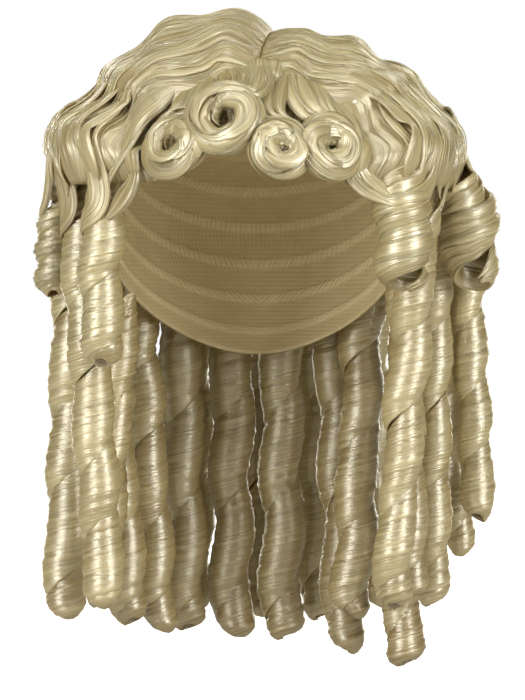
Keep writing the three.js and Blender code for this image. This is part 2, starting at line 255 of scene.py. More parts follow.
def make_piece(name, walls, material, nodes=()):
    """A piece of closed walls. A wall is a grid of points that closes up across its columns and is capped at
    its ends, with its flow (metres along and across the fibre) and its tone (how far out it lies, which the
    hair's colour turns into painted shade deeper in, and a number for its lock, which on ringlets also
    carries painted shade)."""
    spots, corners, starts, flows, tones = [], [], [], [], []
    first, used = 0, 0
    for points, flow, tone in walls:
        rows, columns = points.shape[:2]
        index = first + np.arange(rows * columns).reshape(rows, columns)
        index = np.concatenate([index, index[:, :1]], axis=1)
        grids = (index, flow, tone)
        sheets = [np.stack([g[:-1, :-1], g[:-1, 1:], g[1:, 1:], g[1:, :-1]], axis=2) for g in grids]
        local = (points - points.mean(axis=(0, 1))).reshape(-1, 3)
        quad = local[sheets[0].reshape(-1, 4) - first]
        volume = np.einsum("ij,ij->i", quad[:, 0], np.cross(quad[:, 1], quad[:, 2])).sum()
        volume += np.einsum("ij,ij->i", quad[:, 0], np.cross(quad[:, 2], quad[:, 3])).sum()
        turn = -1 if volume < 0 else 1
        sheets = [s[:, :, ::turn] for s in sheets]
        ends = [(0, -turn), (rows - 1, turn)]
        spots.append(points.reshape(-1, 3))
        corners.append(sheets[0].reshape(-1))
        flows.append(sheets[1].reshape(-1, 2))
        tones.append(sheets[2].reshape(-1, 2))
        starts.append(used + 4 * np.arange((rows - 1) * columns))
        used += 4 * (rows - 1) * columns
        for row, way in ends:
            corners.append(index[row, :-1][::way])
            flows.append(flow[row, :-1][::way])
            tones.append(tone[row, :-1][::way])
            starts.append(np.array([used]))
            used += columns
        first += rows * columns
    mesh = bpy.data.meshes.new(name)
    mesh.vertices.add(first)
    mesh.vertices.foreach_set("co", np.concatenate(spots).astype(np.float32).ravel())
    mesh.loops.add(used)
    mesh.loops.foreach_set("vertex_index", np.concatenate(corners).astype(np.int32))
    starts = np.concatenate(starts).astype(np.int32)
    mesh.polygons.add(len(starts))
    mesh.polygons.foreach_set("loop_start", starts)
    mesh.update(calc_edges=True)
    for layer, values in (("flow", flows), ("tone", tones)):
        places = np.concatenate(values).astype(np.float32)
        mesh.uv_layers.new(name=layer).uv.foreach_set("vector", places.ravel())
    mesh.validate()
    mesh.shade_smooth()
    mesh.materials.append(material)
    piece = bpy.data.objects.new(name, mesh)
    scene.collection.objects.link(piece)
    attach(piece, "root")
    for node in nodes:
        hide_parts(node)
    return piece


def there_and_back(low, high, outer, inner):
    """Places across the outside of a wall and back across its inside, and which of them are inside."""
    places = np.concatenate([np.linspace(low, high, outer), np.linspace(high, low, inner)])
    return places, np.concatenate([np.zeros(outer), np.ones(inner)])


def cap_wall():
    azimuth = np.linspace(-180, 180, 97)
    share, inside = (column[:, None] for column in there_and_back(CAP_EYE, 1, 30, 110))
    weft = np.maximum(0, np.sin(2 * np.pi * WEFT_ROWS * share)) ** 2 * WEFT_RISE * (share < 0.96)
    lift = CAP_WALL * (1 - inside) - weft * inside
    polar = share * rim_polar(azimuth)
    points = above_cap(towards(azimuth, polar), lift)
    around = np.radians(azimuth) * 0.085 * np.sin(np.radians(polar))
    flow = joined(around, np.radians(polar) * 0.09)
    tone = joined(share, inside + 0 * azimuth)
    return points[:, :-1], flow, tone


cap = make_piece("cap", [cap_wall()], net_material(), ["wig_cap"])


# The hair of the crown: combed sideways from the parting over the top of the cap in waves, in two halves.
# It is shiny pale-blonde fibre with darker golden streaks and painted golden shade in its depths, sewn to
# the cap; a thin layer runs to the front edge.
# The hair's pale colour, and the dark gold used both for its random darker streaks and for painted shade.
HAIR_PALE = (0.50, 0.42, 0.205, 1)
HAIR_GOLD_AND_SHADE = (0.19, 0.113, 0.019, 1)
HAIR_SHINE = {
    "Specular IOR Level": 1.0, "Specular Tint": (1.0, 0.96, 0.80, 1), "IOR": 2.2,
    "Subsurface Weight": 0.3, "Subsurface Radius": (1.0, 0.66, 0.25), "Subsurface Scale": 0.004,
}
HAIR_FLOOR = 0.0027
FRINGE_LAYER = 0.0032
CROWN_STATIONS = np.array([
    # lengthwise, parting, fullness
    (-61, 0, 0), (-53, 0, 0), (-45, 1, 0.1), (-39, 1, 0.5), (-31, 2, 0.84), (-19, 4, 0.98),
    (-5, 6, 1), (9, 6, 1), (23, 5, 1), (36, 4, 1), (47, 2, 0.98), (56.5, 0, 0.92),
])
CROWN_PROFILES = {
    # share of the way from the parting to the edge, lift in millimetres
    "right": np.array([
        (0, 6), (0.06, 13), (0.18, 20), (0.4, 24), (0.62, 26), (0.84, 28.5), (0.95, 28), (1, 22)]),
    "left": np.array([
        (0, 6), (0.06, 9), (0.22, 14), (0.42, 18), (0.62, 22), (0.8, 26), (0.95, 30), (1, 26)]),
}
CROWN_EDGE = np.array([(0, 62), (40, 60), (70, 56), (90, 54), (110, 55), (140, 57), (180, 58)])
COMBED_WAVE = {"depth": 0.0027, "crests": 2.5, "slant": 0.012}
CROWN_SETTLED = 0.0024
HALF_PARTING = 0.2
PARTING_CLOSED = 0.027
COMB_RIDGE = 0.00022
COMB_DEGREE = 0.0017
CROWN_STRANDS = 200
CROWN_WISPS = 12
CROWN_WISP = {"width": 0.0065, "thick": 0.0017}
FRONT_LOCK = {"width": 0.0105, "thick": 0.0042}
FINEST_STRAND = 0.00016
STRAND_VARIES = 0.0002
SIDES = {"right": -1, "left": 1}
OTHER_SIDE = {"right": "left", "left": "right"}


def hair_material():
    material = bpy.data.materials.new("hair")
    material.use_nodes = True
    tree = material.node_tree
    flow = uv_wire(tree, "flow")
    tone = uv_wire(tree, "tone")
    strand = flow.noise(24, 2400, 1)
    wisp = flow.noise(13, 950, 1)
    clump = flow.noise(8, 300, 1)
    # The tone's first value paints shade: darker gold on the inner sides of locks, under each ringlet's
    # laps, inside its tube and between comb ridges. Its second value is a random tone per lock, with painted
    # shade on the inside ringlets and towards the ringlets' lower parts.
    shade = tone.part(0) * 0.40 + tone.part(1) * 0.26 + strand * 0.9 + wisp * 1.15 + clump * 0.55 - 1.12
    colour = shade.clamped().mixed(HAIR_GOLD_AND_SHADE, HAIR_PALE)
    height = strand * 0.6 + wisp * 1.0 + clump * 0.5
    finish_material(colour, wisp * 0.14 + 0.325, height, 0.00028, 1.0, HAIR_SHINE)
    return material


def ripple(place, longest, number, terms=4):
    """A smooth random wave of about -1 to 1."""
    chance = np.random.default_rng(number)
    total = 0
    for term in range(terms):
        turns = place / (longest * 0.61 ** term) + chance.random()
        total = total + 0.72 ** term * np.sin(2 * np.pi * turns)
    return total / 1.8


def ease(value, low, high):
    share = np.clip((value - low) / (high - low), 0, 1)
    return share * share * (3 - 2 * share)


def unit(vectors):
    return vectors / np.linalg.norm(vectors, axis=-1, keepdims=True)


def lengths(path):
    steps = np.linalg.norm(np.diff(path, axis=0), axis=1)
    return np.concatenate([[0], np.cumsum(steps)])[:, None]


def drawn_out(at, begin, full, fade, end, tip=0.06, tail=0.08):
    """How full a lock is along its way, between its thin tip and its thin tail."""
    return (tip + (1 - tip) * ease(at, begin, full)) * (tail + (1 - tail) * ease(-at, -end, -fade))


def strand_thick(chance):
    return FINEST_STRAND + STRAND_VARIES * chance.random()


def strand(path, thick, number, pale=0.75):
    """A few hairs that lie together, as a fine three-sided cord along a path."""
    rows = len(path)
    along = unit(np.gradient(path, axis=0))
    side = unit(np.cross(along, [0.31, 0.22, 0.92]))
    up = np.cross(side, along)
    angle = np.linspace(0, 2 * np.pi, 4)
    slim = thick * (0.25 + 0.75 * np.sin(np.pi * np.linspace(0.08, 0.97, rows)))[:, None, None]
    ring = side[:, None] * np.cos(angle)[:, None] + up[:, None] * np.sin(angle)[:, None]
    reach = lengths(path)
    chance = np.random.default_rng(number)
    flow = joined(reach + chance.random(), angle * thick + chance.random())
    tone = joined(pale + 0 * reach, 0 * angle + chance.random())
    return (path[:, None] + slim * ring)[:, :-1], flow, tone


def lock(path, out, width, thick, number, turn=0.0, around=18, flute=0.03, strands=0):
    """A lock of hair along a path: a flat fluted bundle, turned about its path, with loose strands on it."""
    rows = len(path)
    width, thick, turn = (np.broadcast_to(v, rows)[:, None] for v in (width, thick, turn))
    along = unit(np.gradient(path, axis=0))
    side = unit(np.cross(along, out))[:, None]
    out = np.cross(side[:, 0], along)[:, None]
    reach = lengths(path)
    chance = np.random.default_rng(number)

    def skin(angle, swell):
        wide = 0.5 * width * np.cos(angle) * swell
        deep = 0.5 * thick * np.sin(angle) * swell
        x = wide * np.cos(turn) - deep * np.sin(turn)
        y = wide * np.sin(turn) + deep * np.cos(turn)
        return path[:, None] + side * x[..., None] + out * y[..., None]

    angle = np.linspace(0, 2 * np.pi, around + 1)[None, :]
    ridge = 0
    for count in (3, 5, 8):
        ridge = ridge + np.sin(count * angle + 6.28 * chance.random() + 25 * (chance.random() - 0.5) * reach)
    girth = np.pi * (width.max() + thick.max()) / 2
    offsets = 3 * chance.random(2)
    flow = joined(reach + offsets[0], angle / 6.283 * girth + offsets[1])
    # Painted shade: each lock is coloured darker on its inner side, away from the way out it is given.
    outward = 0.5 + 0.5 * np.sin(angle + turn)
    tone = joined(outward, chance.random())
    walls = [(skin(angle, 1 + flute * ridge / 1.4)[:, :-1], flow, tone)]
    for step in range(strands):
        first = int(rows * 0.4 * chance.random())
        last = int(rows * (0.62 + 0.38 * chance.random()))
        begin = np.pi * (-0.08 + 1.16 * chance.random())
        share = np.linspace(0, 1, rows)[:, None]
        bearing = begin + 0.3 * ripple(share, 1.1, number * 7 + step, 2)
        swell = 1.02 + 0.05 * chance.random() * ripple(share, 0.6, number * 7 + step + 1, 2)
        hair_path = skin(bearing, swell)[first:last, 0]
        walls.append(strand(hair_path, strand_thick(chance), number * 11 + step))
    return walls


def combed(lengthwise, crosswise):
    """A direction out of the cap's middle, by degrees back from the top and degrees to the left."""
    l, c = np.radians(lengthwise), np.radians(crosswise)
    return joined(np.cos(l) * np.sin(c), np.sin(l), np.cos(l) * np.cos(c))


def comb_angles(direction):
    """The degrees back and to the left of a direction out of the cap's middle."""
    lengthwise = np.degrees(np.arcsin(np.clip(direction[..., 1], -1, 1)))
    return lengthwise, np.degrees(np.arctan2(direction[..., 0], direction[..., 2]))


def read_off(table, value):
    return np.interp(value, table[:, 0], table[:, 1])


def crosswise_edge(lengthwise):
    """How many degrees to the side the crown's edge lies, found by halving."""
    low, high = np.zeros_like(lengthwise), np.full_like(lengthwise, 89.0)
    for _ in range(30):
        middle = (low + high) / 2
        point = combed(lengthwise, middle)
        polar = np.degrees(np.arccos(np.clip(point[..., 2], -1, 1)))
        azimuth = np.degrees(np.arctan2(np.abs(point[..., 0]), -point[..., 1]))
        short = polar < read_off(CROWN_EDGE, azimuth)
        low, high = np.where(short, middle, low), np.where(short, high, middle)
    return low


def parting_at(side, lengthwise):
    return read_off(CROWN_STATIONS, lengthwise) + side * HALF_PARTING


def crown_crosswise(side, lengthwise, share):
    parting = parting_at(side, lengthwise)
    return parting + (side * crosswise_edge(lengthwise) - parting) * share


def smooth_between(value, table):
    """A curve through a table's rows that doesn't overshoot, for a value at each place."""
    at = np.clip(value, table[0, 0], table[-1, 0])
    total, weight = 0, 0
    for shift in np.linspace(-1, 1, 9):
        near = 1 - 0.85 * abs(shift)
        place = at + shift * 0.07 * (table[-1, 0] - table[0, 0])
        total = total + near * read_off(table, place)
        weight += near
    return total / weight


def crown_lift(side_name, lengthwise, share):
    fullness = smooth_between(lengthwise, CROWN_STATIONS[:, [0, 2]])
    closed = PARTING_CLOSED * ease(lengthwise, 8, 58)
    full = np.maximum(smooth_between(share, CROWN_PROFILES[side_name]) / 1000, closed)
    thin = HAIR_FLOOR + FRINGE_LAYER
    swing = COMBED_WAVE["crests"] * share + COMBED_WAVE["slant"] * lengthwise
    swing = swing + 0.16 * ripple(lengthwise, 70, 42, 3)
    depth = COMBED_WAVE["depth"] * (0.8 + 0.5 * ripple(lengthwise + 40 * share, 80, 41, 3))
    wave = depth * np.sin(2 * np.pi * swing) * np.sin(np.pi * np.clip(share, 0, 1))
    wave = wave - CROWN_SETTLED * ease(share, 0.02, 0.2) * ease(-share, -0.95, -0.6)
    return thin + fullness * (np.maximum(full, thin) - thin + wave)


def off_cap(direction, lift):
    return unit(direction / (CAP_SIZE + np.asarray(lift)[..., None]))


def comb_ridges(place, along, number):
    """Ridges of combed hair across a place in metres, which come and go along the hair."""
    swap = 0.5 + 0.5 * np.sin(2 * np.pi * (1.2 * along + place / 0.05))
    return ripple(place, 0.011, number, 5) * (1 - swap) + ripple(place, 0.008, number + 1, 5) * swap


def crown_sweep(start):
    return np.interp(start, [-46, -30, 0, 50], [8, 4, 0, -3])


def crown_place(side_name, side, start, share, rise):
    """Where a hair lies that leaves the parting at a start and waves over to the edge."""
    inside = ease(start, -60, -48) * ease(-start, -56, -46)
    swept = ease(share, 0.25, 1) * crown_sweep(start)
    lengthwise = start + inside * (swept + 1.4 * np.sin(2 * np.pi * (1.7 * share + 0.006 * start)))
    ridges = COMB_RIDGE * comb_ridges(start * COMB_DEGREE, share, 900 + side) * inside
    under = 0.005 * ease(share, 0.92, 1.0) + 0.005 * ease(start, 42, 56)
    lift = crown_lift(side_name, lengthwise, share) + ridges - under + rise
    direction = combed(lengthwise, crown_crosswise(side, lengthwise, share))
    return direction, np.maximum(lift, HAIR_FLOOR + 0.001)


def closed(grid):
    return np.concatenate([grid, grid[:, :1]], axis=1)


def crown_bed(side_name, side):
    start = np.linspace(-61, 56.5, 230)[:, None]
    share, inner = there_and_back(0, 1, 40, 8)
    start, share, inner = np.broadcast_arrays(start, share, inner)
    direction, lift = crown_place(side_name, side, start, share, 0.0)
    points = above_cap(direction, np.where(inner > 0.5, HAIR_FLOOR, lift))
    flow = joined(share * 0.12, start * COMB_DEGREE)
    ridges = comb_ridges(start * COMB_DEGREE, share, 900 + side)
    # Painted shade: the bed is coloured darker in the hollows between its comb ridges and lighter on their
    # crests.
    tone = joined(0.42 + 0.3 * ridges, 0.4)
    return points, closed(flow), closed(tone)


def crown_wisp(side_name, side, start, number):
    share = np.linspace(0.02, 1.04, 40)
    direction, lift = crown_place(side_name, side, start + 0.8 * ripple(share, 0.9, number), share, -0.0002)
    taper = drawn_out(share, 0, 0.25, 0.75, 1.04, tail=0.06)
    width, thick = CROWN_WISP["width"] * taper, CROWN_WISP["thick"] * taper
    return lock(above_cap(direction, lift), off_cap(direction, lift), width, thick, number, 0, 10)


def crown_strand(side_name, side, number):
    chance = np.random.default_rng(number)
    start = -47 + 84 * chance.random()
    share = np.linspace(0.3 * chance.random() ** 2, 0.72 + 0.4 * chance.random(), 26)
    rise = 0.0001 + 0.0009 * chance.random() ** 2 * np.sin(np.pi * np.linspace(0, 1, 26))
    direction, lift = crown_place(side_name, side, start + 0.7 * ripple(share, 0.8, number), share, rise)
    return strand(above_cap(direction, lift), strand_thick(chance), number)


def fringe_bed_lock(crosswise, number):
    reach = np.linspace(0, 1, 22)
    lengthwise = -38 - 23 * reach
    lift = HAIR_FLOOR + 0.0042 - 0.001 * reach + 0.0008 * ripple(reach, 0.9, number)
    direction = combed(lengthwise, crosswise * (1 + 0.05 * ripple(reach, 1.2, number + 9)))
    path = above_cap(direction, lift)
    taper = 0.5 + 0.5 * ease(-reach, -1, -0.8)
    width, thick = FRONT_LOCK["width"] * taper, FRONT_LOCK["thick"] * taper
    return lock(path, off_cap(direction, lift), width, thick, number, 0.0, 14, strands=6)


hair = hair_material()
for side_name, side in SIDES.items():
    walls = [crown_bed(side_name, side)]
    seed = 1000 if side > 0 else 2000
    chance = np.random.default_rng(seed)
    for step in range(CROWN_WISPS):
        walls += crown_wisp(side_name, side, -44 + 80 * (step + chance.random()) / CROWN_WISPS, seed + step)
    for step in range(CROWN_STRANDS):
        walls.append(crown_strand(side_name, side, seed + 100 + step))
    for step, crosswise in enumerate(np.linspace(2, 46, 8)):
        walls += fringe_bed_lock(side * crosswise, seed + 300 + step)
    make_piece("crown_" + side_name, walls, hair, ["crown_hair_" + side_name])


# The side waves: the full hair round the sides and back, in deep twisting waves that fall from the crown's
# edge to the hem where the ringlets start. It is the same fibre, sewn to the cap in rows.
WAVE_PROFILES = {
    "right": np.array([(0, 23), (0.15, 33), (0.4, 40), (0.68, 42), (0.88, 40), (1, 37)]),
    "left": np.array([(0, 28), (0.15, 34), (0.4, 38), (0.68, 40), (0.88, 39), (1, 37)]),
}
WAVE_FRONT = {"right": 39, "left": 33}
WAVE_HEM = {"right": (-0.074, -0.074), "left": (-0.076, -0.074)}
FLOWING_LOCKS = [
    # width, thickness, first azimuth, last azimuth, how many
    (0.021, 0.0026, 11, 118, 8),
    (0.011, 0.0020, 126, 180, 9),
]
FLOWING_STRANDS = 120
OVER_CROWN = 26
HOLLOW_FILLED = 0.004
COMBED_BACK = 0.5
WAVE_SWING = {"crests": 1.3, "slant": 0.008, "side": 0.0055, "depth": 0.0045}
WAVE_SUNK = 0.0012
WAVE_RADIUS = 0.125
WAVE_BELOW_CROWN = 1.4
WAVE_TURNED_UNDER = 0.006
FEED = {"width": 0.013, "thick": 0.0028, "widest": 0.022, "loose": 0.011}
FED_RINGLETS = (
    "right_temple right_front right_high right_outer left_temple left_front left_high left_middle "
    "left_outer left_short back_5 back_6 back_7 back_8 back_9 right_inner left_low").split()
RINGLET_NECK = 0.45
RINGLET_COLUMNS = "top_x top_y end_x end_y end_z radius pitch sway lap".split()
RINGLETS = {
    # millimetres, with the lap as a share of the pitch
    "right_temple": (-77, -60, -78, -57, -165, 12.5, 35, 1.2, 1.12),
    "right_front": (-91, -34, -77, -32, -288, 12, 40, 1.8, 1.12),
    "right_high": (-105, -9, -106, -9, -130, 10.5, 15, 0.8, 1.12),
    "right_outer": (-95, 19, -100, 1, -296, 13, 47, 2, 1.12),
    "right_inner": (-86, 49, -68, 45, -304, 12, 42, 1.5, 1.12),
    "right_nape": (-69, 76, -53, 67, -310, 12, 42, 1.5, 1.12),
    "right_under": (-70, 26, -83, 22, -292, 10.5, 44, 1, 1.12),
    "left_temple": (74, -77, 72, -77, -138, 15.5, 21, 0, 0.86),
    "left_front": (83, -48, 68, -34, -289, 11.5, 42, 1.8, 1.12),
    "left_high": (109, -23, 110, -23, -136, 16.5, 30, 0, 0.86),
    "left_middle": (92, 5, 92, 9, -291, 11, 40, 1.5, 1.12),
    "left_outer": (108, 25, 116, 6, -246, 10.5, 36, 1.2, 1.12),
    "left_short": (101, 48, 107, 36, -266, 10, 36, 1.2, 1.12),
    "left_low": (85, 70, 78, 43, -326, 12, 46, 1.5, 1.12),
    "left_inner": (62, 90, 51, 62, -302, 13, 44, 1.5, 1.12),
    "left_under": (75, -14, 80, -13, -286, 10.5, 44, 1, 1.12),
    "back_1": (-43, 97, -40, 95, -312, 13.3, 54, 1.2, 1.12),
    "back_2": (-15, 108, -14, 104, -316, 13.3, 54, 1.2, 1.12),
    "back_3": (13, 109, 14, 105, -318, 13.3, 54, 1.2, 1.12),
    "back_4": (39, 105, 48, 90, -324, 12, 54, 1.2, 1.12),
    "back_5": (-68, 104, -66, 102, -298, 11.5, 52, 1.2, 1.12),
    "back_6": (-36, 124, -35, 121, -304, 11.5, 52, 1.2, 1.12),
    "back_7": (-1, 131.5, 0, 129, -307, 11.5, 52, 1.2, 1.12),
    "back_8": (31, 129, 34, 126, -309, 11.5, 52, 1.2, 1.12),
    "back_9": (63, 114.5, 66, 110, -300, 11.5, 52, 1.2, 1.12),
}


def wave_lift(side_name, azimuth, share):
    front = azimuth - WAVE_FRONT[side_name]
    temple = 0.3 + 0.7 * ease(front, 0, 24)
    behind = 1 + 0.18 * np.clip(share, 0, 1) * ease(azimuth, 112, 150)
    own, other = WAVE_PROFILES[side_name], WAVE_PROFILES[OTHER_SIDE[side_name]]
    shared = 0.5 * ease(azimuth, 135, 180)
    full = read_off(own, share) * (1 - shared) + read_off(other, share) * shared
    return full / 1000 * temple * behind


def wave_direction(side_name, side, azimuth, share, lift):
    front, back = WAVE_HEM[side_name]
    start = WAVE_FRONT[side_name]
    hem = front + (back - front) * (azimuth - start) / (180 - start)
    low = np.degrees(np.arccos((hem + CAP_SIZE[2]) / (CAP_SIZE[2] + lift)))
    top = read_off(CROWN_EDGE, azimuth) + WAVE_BELOW_CROWN
    return towards(side * azimuth, top + (low - top) * share)


def wave_place(side_name, side, start, share, rise):
    """Where a hair lies that falls from the crown's edge in waves, and how far it has swung."""
    front = WAVE_FRONT[side_name]
    inside = ease(start, front - 1, front + 8) * ease(-start, -180, -172)
    wander = 0.14 * ripple(start, 47, 935, 3) * ease(start, 60, 100)
    phase = 2 * np.pi * (WAVE_SWING["crests"] * share + WAVE_SWING["slant"] * start + wander)
    calm = (0.45 + 0.55 * ease(start, 62, 100)) * (1 - 0.5 * ease(start, 120, 160))
    azimuth = start + inside * calm * np.degrees(WAVE_SWING["side"] * np.cos(phase) / 0.11)
    ridges = COMB_RIDGE * comb_ridges(np.radians(start) * WAVE_RADIUS, share, 910 + side) * inside
    full = wave_lift(side_name, azimuth, share)
    uneven = 0.06 * ripple(start, 13, 930 + side, 4)
    tucked = WAVE_TURNED_UNDER * ease(share + uneven, 0.74, 1.08) ** 2
    swung = WAVE_SWING["depth"] * calm * (np.sin(phase) - 0.8) * ease(share, -0.1, 0.3)
    lift = full + swung + ridges - tucked + rise
    lift = lift * (0.25 + 0.75 * ease(start, front, front + 7))
    return wave_direction(side_name, side, azimuth, share, full), np.maximum(lift, HAIR_FLOOR + 0.002), phase


def smoothed(path, passes):
    for _ in range(passes):
        path = path.copy()
        path[1:-1] = (path[:-2] + 2 * path[1:-1] + path[2:]) / 4
    return path


def crown_height(side_name, side, direction):
    """How far the crown's hair stands off the cap in a direction."""
    lengthwise, crosswise = comb_angles(direction)
    parting = parting_at(side, lengthwise)
    edge = side * crosswise_edge(np.minimum(lengthwise, 54)) - parting
    return crown_lift(side_name, lengthwise, np.clip((crosswise - parting) / edge, 0, 1))


def over_place(side_name, side, start, share, rise):
    """Where hair lies that leaves the crown over its edge and falls in waves, its way out and its swing."""
    rise = rise + HOLLOW_FILLED * np.exp(-((share - 0.03) / 0.24) ** 2) * ease(start, 70, 110)
    direction, lift, phase = wave_place(side_name, side, start, share, rise - WAVE_SUNK)
    edge = read_off(CROWN_EDGE, start)
    lengthwise, crosswise = comb_angles(towards(side * start, edge))
    above = 1 + COMBED_BACK * np.minimum(share, 0.3)
    swept = crown_sweep(lengthwise) * (1 - ease(above, 0.25, 1))
    with_comb = combed(lengthwise - swept, crosswise * above)
    straight = towards(side * start, edge + OVER_CROWN * np.minimum(share, 0.3))
    behind = ease(start, 120, 165)[..., None]
    over = unit(with_comb * (1 - behind) + straight * behind)
    shared = 0.5 * ease(start, 140, 180)
    height = crown_height(side_name, side, over) * (1 - shared)
    height = height + crown_height(OTHER_SIDE[side_name], -side, over * (-1, 1, 1)) * shared + rise
    bend = 0.2 + 0.22 * ease(start, 80, 135)
    onto = ease(share, -bend, bend)[..., None]
    point = above_cap(over, height) * (1 - onto) + above_cap(direction, lift) * onto
    out = off_cap(over, height) * (1 - onto) + off_cap(direction, lift) * onto
    return point, unit(out), phase


def wave_bed(side_name, side):
    front = WAVE_FRONT[side_name]
    start = np.linspace(front, 180, 240)[:, None]
    share, inner = there_and_back(-0.95, 1, 46, 9)
    start, share, inner = np.broadcast_arrays(start, share, inner)
    ragged = 0.12 * ripple(start, 11, 920 + side, 5)
    sunk = 0.0042 * ease(-share + ragged, 0.4, 0.9)
    sunk = sunk + 0.004 * ease(-start, -front - 14, -front) * ease(-share, 0, 0.3)
    ridges = comb_ridges(np.radians(start) * WAVE_RADIUS, share, 910 + side)
    rise = 0.0006 - sunk + COMB_RIDGE * ridges * ease(-share, 0, 0.2)
    outer = over_place(side_name, side, start, share, rise)[0]
    low = wave_direction(side_name, side, start, share, np.full(start.shape, HAIR_FLOOR))
    under = above_cap(low, np.full(start.shape, HAIR_FLOOR))
    onto = ease(share, -0.05, 0.15)[..., None]
    under = over_place(side_name, side, start, share, rise - 0.0015)[0] * (1 - onto) + under * onto
    points = np.where(inner[..., None] > 0.5, under, outer)
    flow = joined(share * 0.07, np.radians(start) * WAVE_RADIUS)
    # Painted shade: the bed is coloured darker in the hollows between its comb ridges and lighter on their
    # crests.
    tone = joined(0.45 + 0.3 * ridges, 0.5)
    return points, closed(flow), closed(tone)


def flowing_path(side_name, side, azimuth, number, begin=-0.55, end=1.12, rows=42):
    """The way of hair that comes out of the crown, goes over its edge and falls in waves towards the hem."""
    chance = np.random.default_rng(number)
    share = np.linspace(begin - 0.4 * chance.random(), end, rows)
    drift = azimuth + 1.6 * ripple(share, 1.4, number, 2)
    rise = 0.0006 - 0.0075 * ease(share[0] - share, -0.55, 0)
    path, out, phase = over_place(side_name, side, drift, share, rise)
    return smoothed(path, 5), out, share, phase


def flowing_lock(side_name, side, azimuth, width, thick, number):
    path, out, share, phase = flowing_path(side_name, side, azimuth, number)
    taper = drawn_out(share, share[0], share[0] + 0.6, 0.8, 1.12)
    turn = 0.1 * np.sin(phase + 0.8) * ease(share, 0, 0.3)
    path = path - out * 0.3 * thick
    return lock(path, out, width * taper, thick * taper, number, turn, 16, strands=7)


def flowing_strand(side_name, side, number):
    chance = np.random.default_rng(number)
    azimuth = WAVE_FRONT[side_name] + 5 + (174 - WAVE_FRONT[side_name]) * chance.random()
    path, out = flowing_path(side_name, side, azimuth, number)[:2]
    rise = 0.0004 + 0.0016 * chance.random() ** 2
    last = int(len(path) * (0.7 + 0.3 * chance.random()))
    return strand((path + out * rise)[:last], strand_thick(chance), number)


def ringlet_row(name):
    """A ringlet's sizes, the height of its top in metres and the bearing from it to the wig's middle."""
    row = dict(zip(RINGLET_COLUMNS, RINGLETS[name]))
    row["top"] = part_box("ringlet_" + name)[1].z
    row["inwards"] = math.atan2(-row["top_y"], -row["top_x"])
    return row


def round_ringlet(row, drop, ring, angle):
    """Where hair lies that is wound round a ringlet's axis, which leans and sways as it drops."""
    lean = drop / (row["top"] - row["end_z"] / 1000)
    swing = row["sway"] / 1000 * np.sin(2 * np.pi * drop / 0.066)
    hidden = 0.45 * row["radius"] / 1000 * ease(-drop, -0.024, 0.004)
    x = (row["top_x"] + (row["end_x"] - row["top_x"]) * lean) / 1000
    y = (row["top_y"] + (row["end_y"] - row["top_y"]) * lean) / 1000
    x = x + swing * math.sin(row["inwards"]) + hidden * math.cos(row["inwards"])
    y = y - swing * math.cos(row["inwards"]) + hidden * math.sin(row["inwards"])
    return joined(x + ring * np.cos(angle), y + ring * np.sin(angle), row["top"] - drop)


def ringlet_neck(drop):
    """How slim a ringlet is near its top, as a share of its radius."""
    return RINGLET_NECK + (1 - RINGLET_NECK) * ease(drop, -0.006, 0.026)


def feeding_lock(side_name, side, row, lane, number):
    """A lock that waves down from the crown's edge and winds onto the top of a ringlet."""
    axis = np.array([row["top_x"], row["top_y"]]) / 1000
    radius, pitch = row["radius"] / 1000, row["pitch"] / 1000
    bearing = math.degrees(math.atan2(abs(axis[0]) / (CAP_SIZE[0] + 0.03), -axis[1] / (CAP_SIZE[1] + 0.03)))
    begin = -0.55 if bearing < 100 else 0.0
    loose = row["lap"] < 1
    start = bearing + (5 + 4.5 * lane if loose else 2.8 * lane)
    falling, out = flowing_path(side_name, side, start, number, begin, 0.8, 30)[:2]
    wound = np.linspace(0, 0.62, 20)
    angle = row["inwards"] + math.pi + 0.9 + 0.3 * side * lane - 2 * np.pi * wound
    drop = 0.006 - 0.008 * loose + 0.005 * side * lane + pitch * wound
    ring = radius * ringlet_neck(drop) * 0.95 + 0.0008
    if loose:
        ring = (radius + 0.0012) * (0.68 + 0.32 * ease(drop, -0.008, 0.012))
    winding = round_ringlet(row, drop, ring, angle)
    radial = joined(np.cos(angle), np.sin(angle), 0)
    path = smoothed(np.concatenate([falling, winding]), 14)
    out = unit(smoothed(np.concatenate([out, radial]), 14))
    reach = np.linspace(0, 1, len(path))
    wide = FEED["loose"] if loose else 0.6 * min(0.6 * pitch, FEED["widest"])
    width = FEED["width"] + (wide - FEED["width"]) * ease(reach, 0.44, 0.66)
    taper = drawn_out(reach, 0, 0.42, 0.68, 1, tip=0.04)
    turn = 0.12 * np.sin(2 * np.pi * (1.5 * reach + 0.3)) * ease(-reach, -0.62, -0.45)
    return lock(path, out, width * taper, FEED["thick"] * taper, number, turn, 12, strands=5)


TEMPLE_LOCKS = {
    # points in millimetres, then width and thickness
    "right": [
        ([(-41, -76, -14), (-50, -75, -26), (-57, -73, -40), (-64, -70, -56), (-73, -65, -70),
          (-83, -58, -84), (-84, -48, -97)], 19, 6),
        ([(-50, -74, -25), (-60, -68, -38), (-64, -66, -52), (-60, -72, -64), (-61, -74, -76),
          (-70, -71, -88), (-80, -66, -98)], 15, 6),
    ],
    "left": [
        ([(30, -84, -22), (40, -82, -32), (45, -82, -46), (47, -83, -60), (52, -83, -74),
          (64, -86, -84), (78, -88, -92)], 16, 6),
    ],
}


